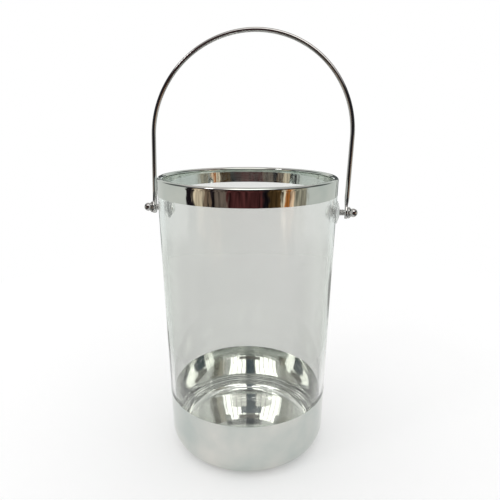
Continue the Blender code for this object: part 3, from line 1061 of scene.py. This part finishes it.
# %% Rows of screens
ROOM = [
    (-180, -147, BACK),
    (-146, -71, TENT),
    (-70, -59, GAP),
    (-58, -46, SAND),
    (-46, -38, (0.20, 0.14, 0.10)),
    (-37, -31, GAP),
    (-31, -17, (0.16, 0.125, 0.105)),
    (-16, 26, (0.078, 0.024, 0.024)),
    (27, 34, GAP),
    (34, 50, (0.095, 0.052, 0.020)),
    (52, 55, (1.00, 0.85, 0.66)),
    (56, 61, (0.52, 0.18, 0.045)),
    (62, 66, (0.95, 0.66, 0.45)),
    (67, 84, (0.42, 0.38, 0.30)),
    (86, 163, TENT),
    (164, 180, BACK),
]
APRON = [(-180, -102, PALE_APRON), (-82, 90, DARK_APRON), (110, 180, PALE_APRON)]
CURTAIN = [
    (-180, -132, TENT),
    (-118, -72, SIDE_DRAPE),
    (-69, 85, DRAPE),
    (88, 134, SIDE_DRAPE),
    (148, 180, TENT),
]
ABOVE = [
    (-180, -170, UPPER_BACK),
    (-150, -84, UPPER_TENT),
    (-78, -60, (0.60, 0.60, 0.55)),
    (-55, 52, (0.62, 0.63, 0.60)),
    (54, 63, (0.70, 0.66, 0.56)),
    (66, 76, (0.22, 0.21, 0.17)),
    (84, 150, UPPER_TENT),
    (170, 180, UPPER_BACK),
]
print("set:", len(ROOM), "screens,", len(ABOVE), "tones above them")

# %% What open metal sees
# A pair of elevations says where a tone starts to take over, and where it has.
FRONT = (-69.0, 85.0)
APRON_FROM = (-14.0, -17.0)
FLOOR_FROM = (-52.0, -58.0)
CURTAIN_FROM = (12.0, 16.0)
OVERHEAD_FROM = (38.0, 46.0)
SOFT_BOX_PATCH = (-30.0, 55.0, 48.0, 76.0)
light_path = sky.nodes.new("ShaderNodeLightPath")


def deeper(depth, limit):
    """1 where a ray has had more bounces of a kind than a limit."""
    return sky_math("GREATER_THAN", light_path.outputs[depth], limit)


def low_screens():
    """The screens with soft folds, and a dark apron and the floor below them.

    A ray on its second mirror meets a brighter tent there.
    """
    cloth = sky.nodes.new("ShaderNodeVectorMath")
    cloth.operation = "SCALE"
    sky.links.new(screens(WAVY, ROOM, 0.5), cloth.inputs[0])
    folds = sky_math("MULTIPLY", FOLDS, within(AZIMUTH, *FRONT, 2.0))
    sky.links.new(sky_math("ADD", folds, 1.0), cloth.inputs["Scale"])
    seen = sky_mix(edge(ELEVATION, *APRON_FROM), cloth.outputs["Vector"],
                   screens(AZIMUTH, APRON, 0.5))
    seen = sky_mix(edge(ELEVATION, *FLOOR_FROM), seen, FLOOR)
    return sky_mix(deeper("Glossy Depth", TWICE), seen, TWICE_TENT)


def open_view(low):
    """A dark curtain over the screens, and a soft box before a grey ceiling.

    The second mirror, inside the rim, meets a brighter tent.
    """
    seen = sky_mix(edge(ELEVATION, *CURTAIN_FROM), low, screens(AZIMUTH, CURTAIN, 0.5))
    seen = sky_mix(edge(ELEVATION, *OVERHEAD_FROM), seen, OVERHEAD)
    seen = sky_mix(patch(*SOFT_BOX_PATCH, 3.0, 2.0), seen, SOFT_BOX)
    return sky_mix(deeper("Glossy Depth", TWICE), seen, TWICE_TENT)


LOW = low_screens()
OPEN_VIEW = open_view(LOW)
print("open metal's view:", len(sky.nodes), "nodes so far")

# %% What the mirror behind the glass sees
AHEAD = (-76.0, 90.0)
SIDE_TENT_FROM = (-16.0, -12.0)
ABOVE_FROM = (20.0, 24.0)
CEILING_FROM = (50.0, 58.0)
BARS_AROUND = 40
BAR_EDGE = (0.80, 0.97)
BAR_STRENGTH = 0.75
# Each opening: first and last azimuth, bottom and top elevation, and its light.
OPENINGS = (
    (-54.0, -35.0, 12.5, 31.0, WINDOW), (36.0, 51.0, 12.5, 31.0, WINDOW),
    (-35.0, 36.0, 12.5, 22.5, PANE), (-35.0, -8.0, 22.5, 31.0, WINDOW),
    (13.0, 36.0, 22.5, 31.0, WINDOW), (-48.0, -8.0, 31.0, 46.0, WINDOW),
    (13.0, 43.0, 31.0, 46.0, WINDOW), (-34.0, 48.0, 60.0, 76.0, WINDOW),
)
# Each spot: its patch in the same order, its tone and the mirror from which it is seen.
SPOTS = (
    (-6.0, 11.0, 12.5, 27.0, POST, ONCE), (-6.0, 11.0, 36.0, 76.0, POST, ONCE),
    (-18.0, 27.0, 31.5, 35.5, BEAM, ONCE), (-19.0, 22.0, 21.5, 30.0, POST, TWICE),
    (-179.9, -160.0, 32.0, 38.0, SHADE, ONCE),
)


def window_wall(seen):
    """Bright windows round a row of dimmer panes, all with thin bars.

    The bars are the crests of a sine of the azimuth times their number in a full turn.
    """
    wave = sky_math("SINE", sky_math("MULTIPLY", AZIMUTH, float(np.radians(BARS_AROUND))))
    bars = sky_math("MULTIPLY", edge(wave, *BAR_EDGE), BAR_STRENGTH)
    for *place, light in OPENINGS:
        seen = sky_mix(patch(*place, 0.8, 0.4), seen, sky_mix(bars, light, BAR))
    return seen


def glass_view(low):
    """Plain tones and the windows, with a post and a beam between them.

    The second mirror shows the post wider, and a shade hangs on the back wall.
    """
    beside = sky_math("SUBTRACT", 1.0, within(AZIMUTH, *AHEAD, 6.0))
    tent = sky_math("MULTIPLY", edge(ELEVATION, *SIDE_TENT_FROM), beside)
    seen = sky_mix(tent, low, SIDE_TENT)
    seen = sky_mix(edge(ELEVATION, *ABOVE_FROM), seen, screens(AZIMUTH, ABOVE, 0.0))
    seen = window_wall(sky_mix(edge(ELEVATION, *CEILING_FROM), seen, CEILING))
    for *place, tone, mirrors in SPOTS:
        spot = sky_math("MULTIPLY", patch(*place, 1.0, 0.8), deeper("Glossy Depth", mirrors))
        seen = sky_mix(spot, seen, tone)
    return seen


GLASS_VIEW = glass_view(LOW)
print("windows and panes:", len(OPENINGS), "- spots:", len(SPOTS))

# %% The two views in one sky
def build_world():
    """White for all rays but those that were mirrored and never scattered."""
    seen = sky_mix(deeper("Transmission Depth", ONCE), OPEN_VIEW, GLASS_VIEW)
    never_scattered = sky_math("LESS_THAN", light_path.outputs["Diffuse Depth"], ONCE)
    mirrored = sky_math("MULTIPLY", deeper("Glossy Depth", ONCE), never_scattered)
    backdrop = sky.nodes.new("ShaderNodeBackground")
    sky.links.new(sky_mix(mirrored, (1.0, 1.0, 1.0), seen), backdrop.inputs["Color"])
    output = sky.nodes.new("ShaderNodeOutputWorld")
    sky.links.new(backdrop.outputs["Background"], output.inputs["Surface"])
    print("sky:", len(sky.nodes), "nodes")


build_world()

# %% A small soft box
LAMP_PLACE = Vector((-0.45, -0.40, 0.80))
LAMP_SIZE = 0.12
LAMP_POWER = 0.35


def hang_lamp(name):
    """A square soft lamp that faces the middle of the bucket."""
    data = bpy.data.lights.new(name, "AREA")
    data.shape, data.size, data.energy = "SQUARE", LAMP_SIZE, LAMP_POWER
    lamp = bpy.data.objects.new(name, data)
    towards = Vector((0, 0, RIM_TOP / 2)) - LAMP_PLACE
    turn = towards.to_track_quat("-Z", "Y").to_matrix().to_4x4()
    lamp.matrix_world = Matrix.Translation(LAMP_PLACE) @ turn
    bpy.context.scene.collection.objects.link(lamp)
    print(f"{name}: {towards.length:.2f} m from the bucket, {LAMP_POWER} W")


hang_lamp("soft_box_left")

# %% [markdown]
# ## The camera
#
# The place of the camera was worked out from the ellipses of the rim and the base in the
# photograph. It is close, about five rim radii away, and looks down by 16 degrees. Its
# distances are multiples of the rim radius, so the framing stays if the size changes. The
# pivot axis isn't quite square to the line of sight, so in this frame the camera stands a
# little to the right.

# %% The camera
TURN = np.radians(8.79)
DISTANCE = 5.213 * RIM_RADIUS
OVER_RIM = 0.592 * RIM_RADIUS
HEADING = np.radians(0.31) - TURN
PITCH = np.radians(16.32)
ROLL = np.radians(0.13)
SENSOR_MM = 36.0
FRAME_PIXELS = 500.0
FOCAL_PIXELS = 464.0
SHIFT_PIXELS = 6.0


def place_camera():
    """Build the camera's axes from its heading, pitch and roll."""
    ahead = np.array([np.sin(HEADING) * np.cos(PITCH), np.cos(HEADING) * np.cos(PITCH),
                      -np.sin(PITCH)])
    level = np.array([np.cos(HEADING), -np.sin(HEADING), 0.0])
    above = np.cross(level, ahead)
    right = np.cos(ROLL) * level + np.sin(ROLL) * above
    upward = -np.sin(ROLL) * level + np.cos(ROLL) * above
    data = bpy.data.cameras.new("close_camera")
    data.sensor_width = SENSOR_MM
    data.lens = SENSOR_MM * FOCAL_PIXELS / FRAME_PIXELS
    data.shift_y = SHIFT_PIXELS / FRAME_PIXELS
    data.clip_start = 10 * MM
    camera = bpy.data.objects.new("close_camera", data)
    place = np.array([np.sin(TURN) * DISTANCE, -np.cos(TURN) * DISTANCE, RIM_TOP + OVER_RIM])
    pose = np.eye(4)
    pose[:3] = np.stack([right, upward, -ahead, place], axis=1)
    camera.matrix_world = Matrix(pose.tolist())
    bpy.context.scene.collection.objects.link(camera)
    bpy.context.scene.camera = camera
    print("camera at", np.round(place, 4))


place_camera()
scene = bpy.context.scene
scene.view_settings.view_transform = "Standard"
scene.cycles.max_bounces = 32
scene.cycles.transmission_bounces = 24
scene.cycles.glossy_bounces = 16
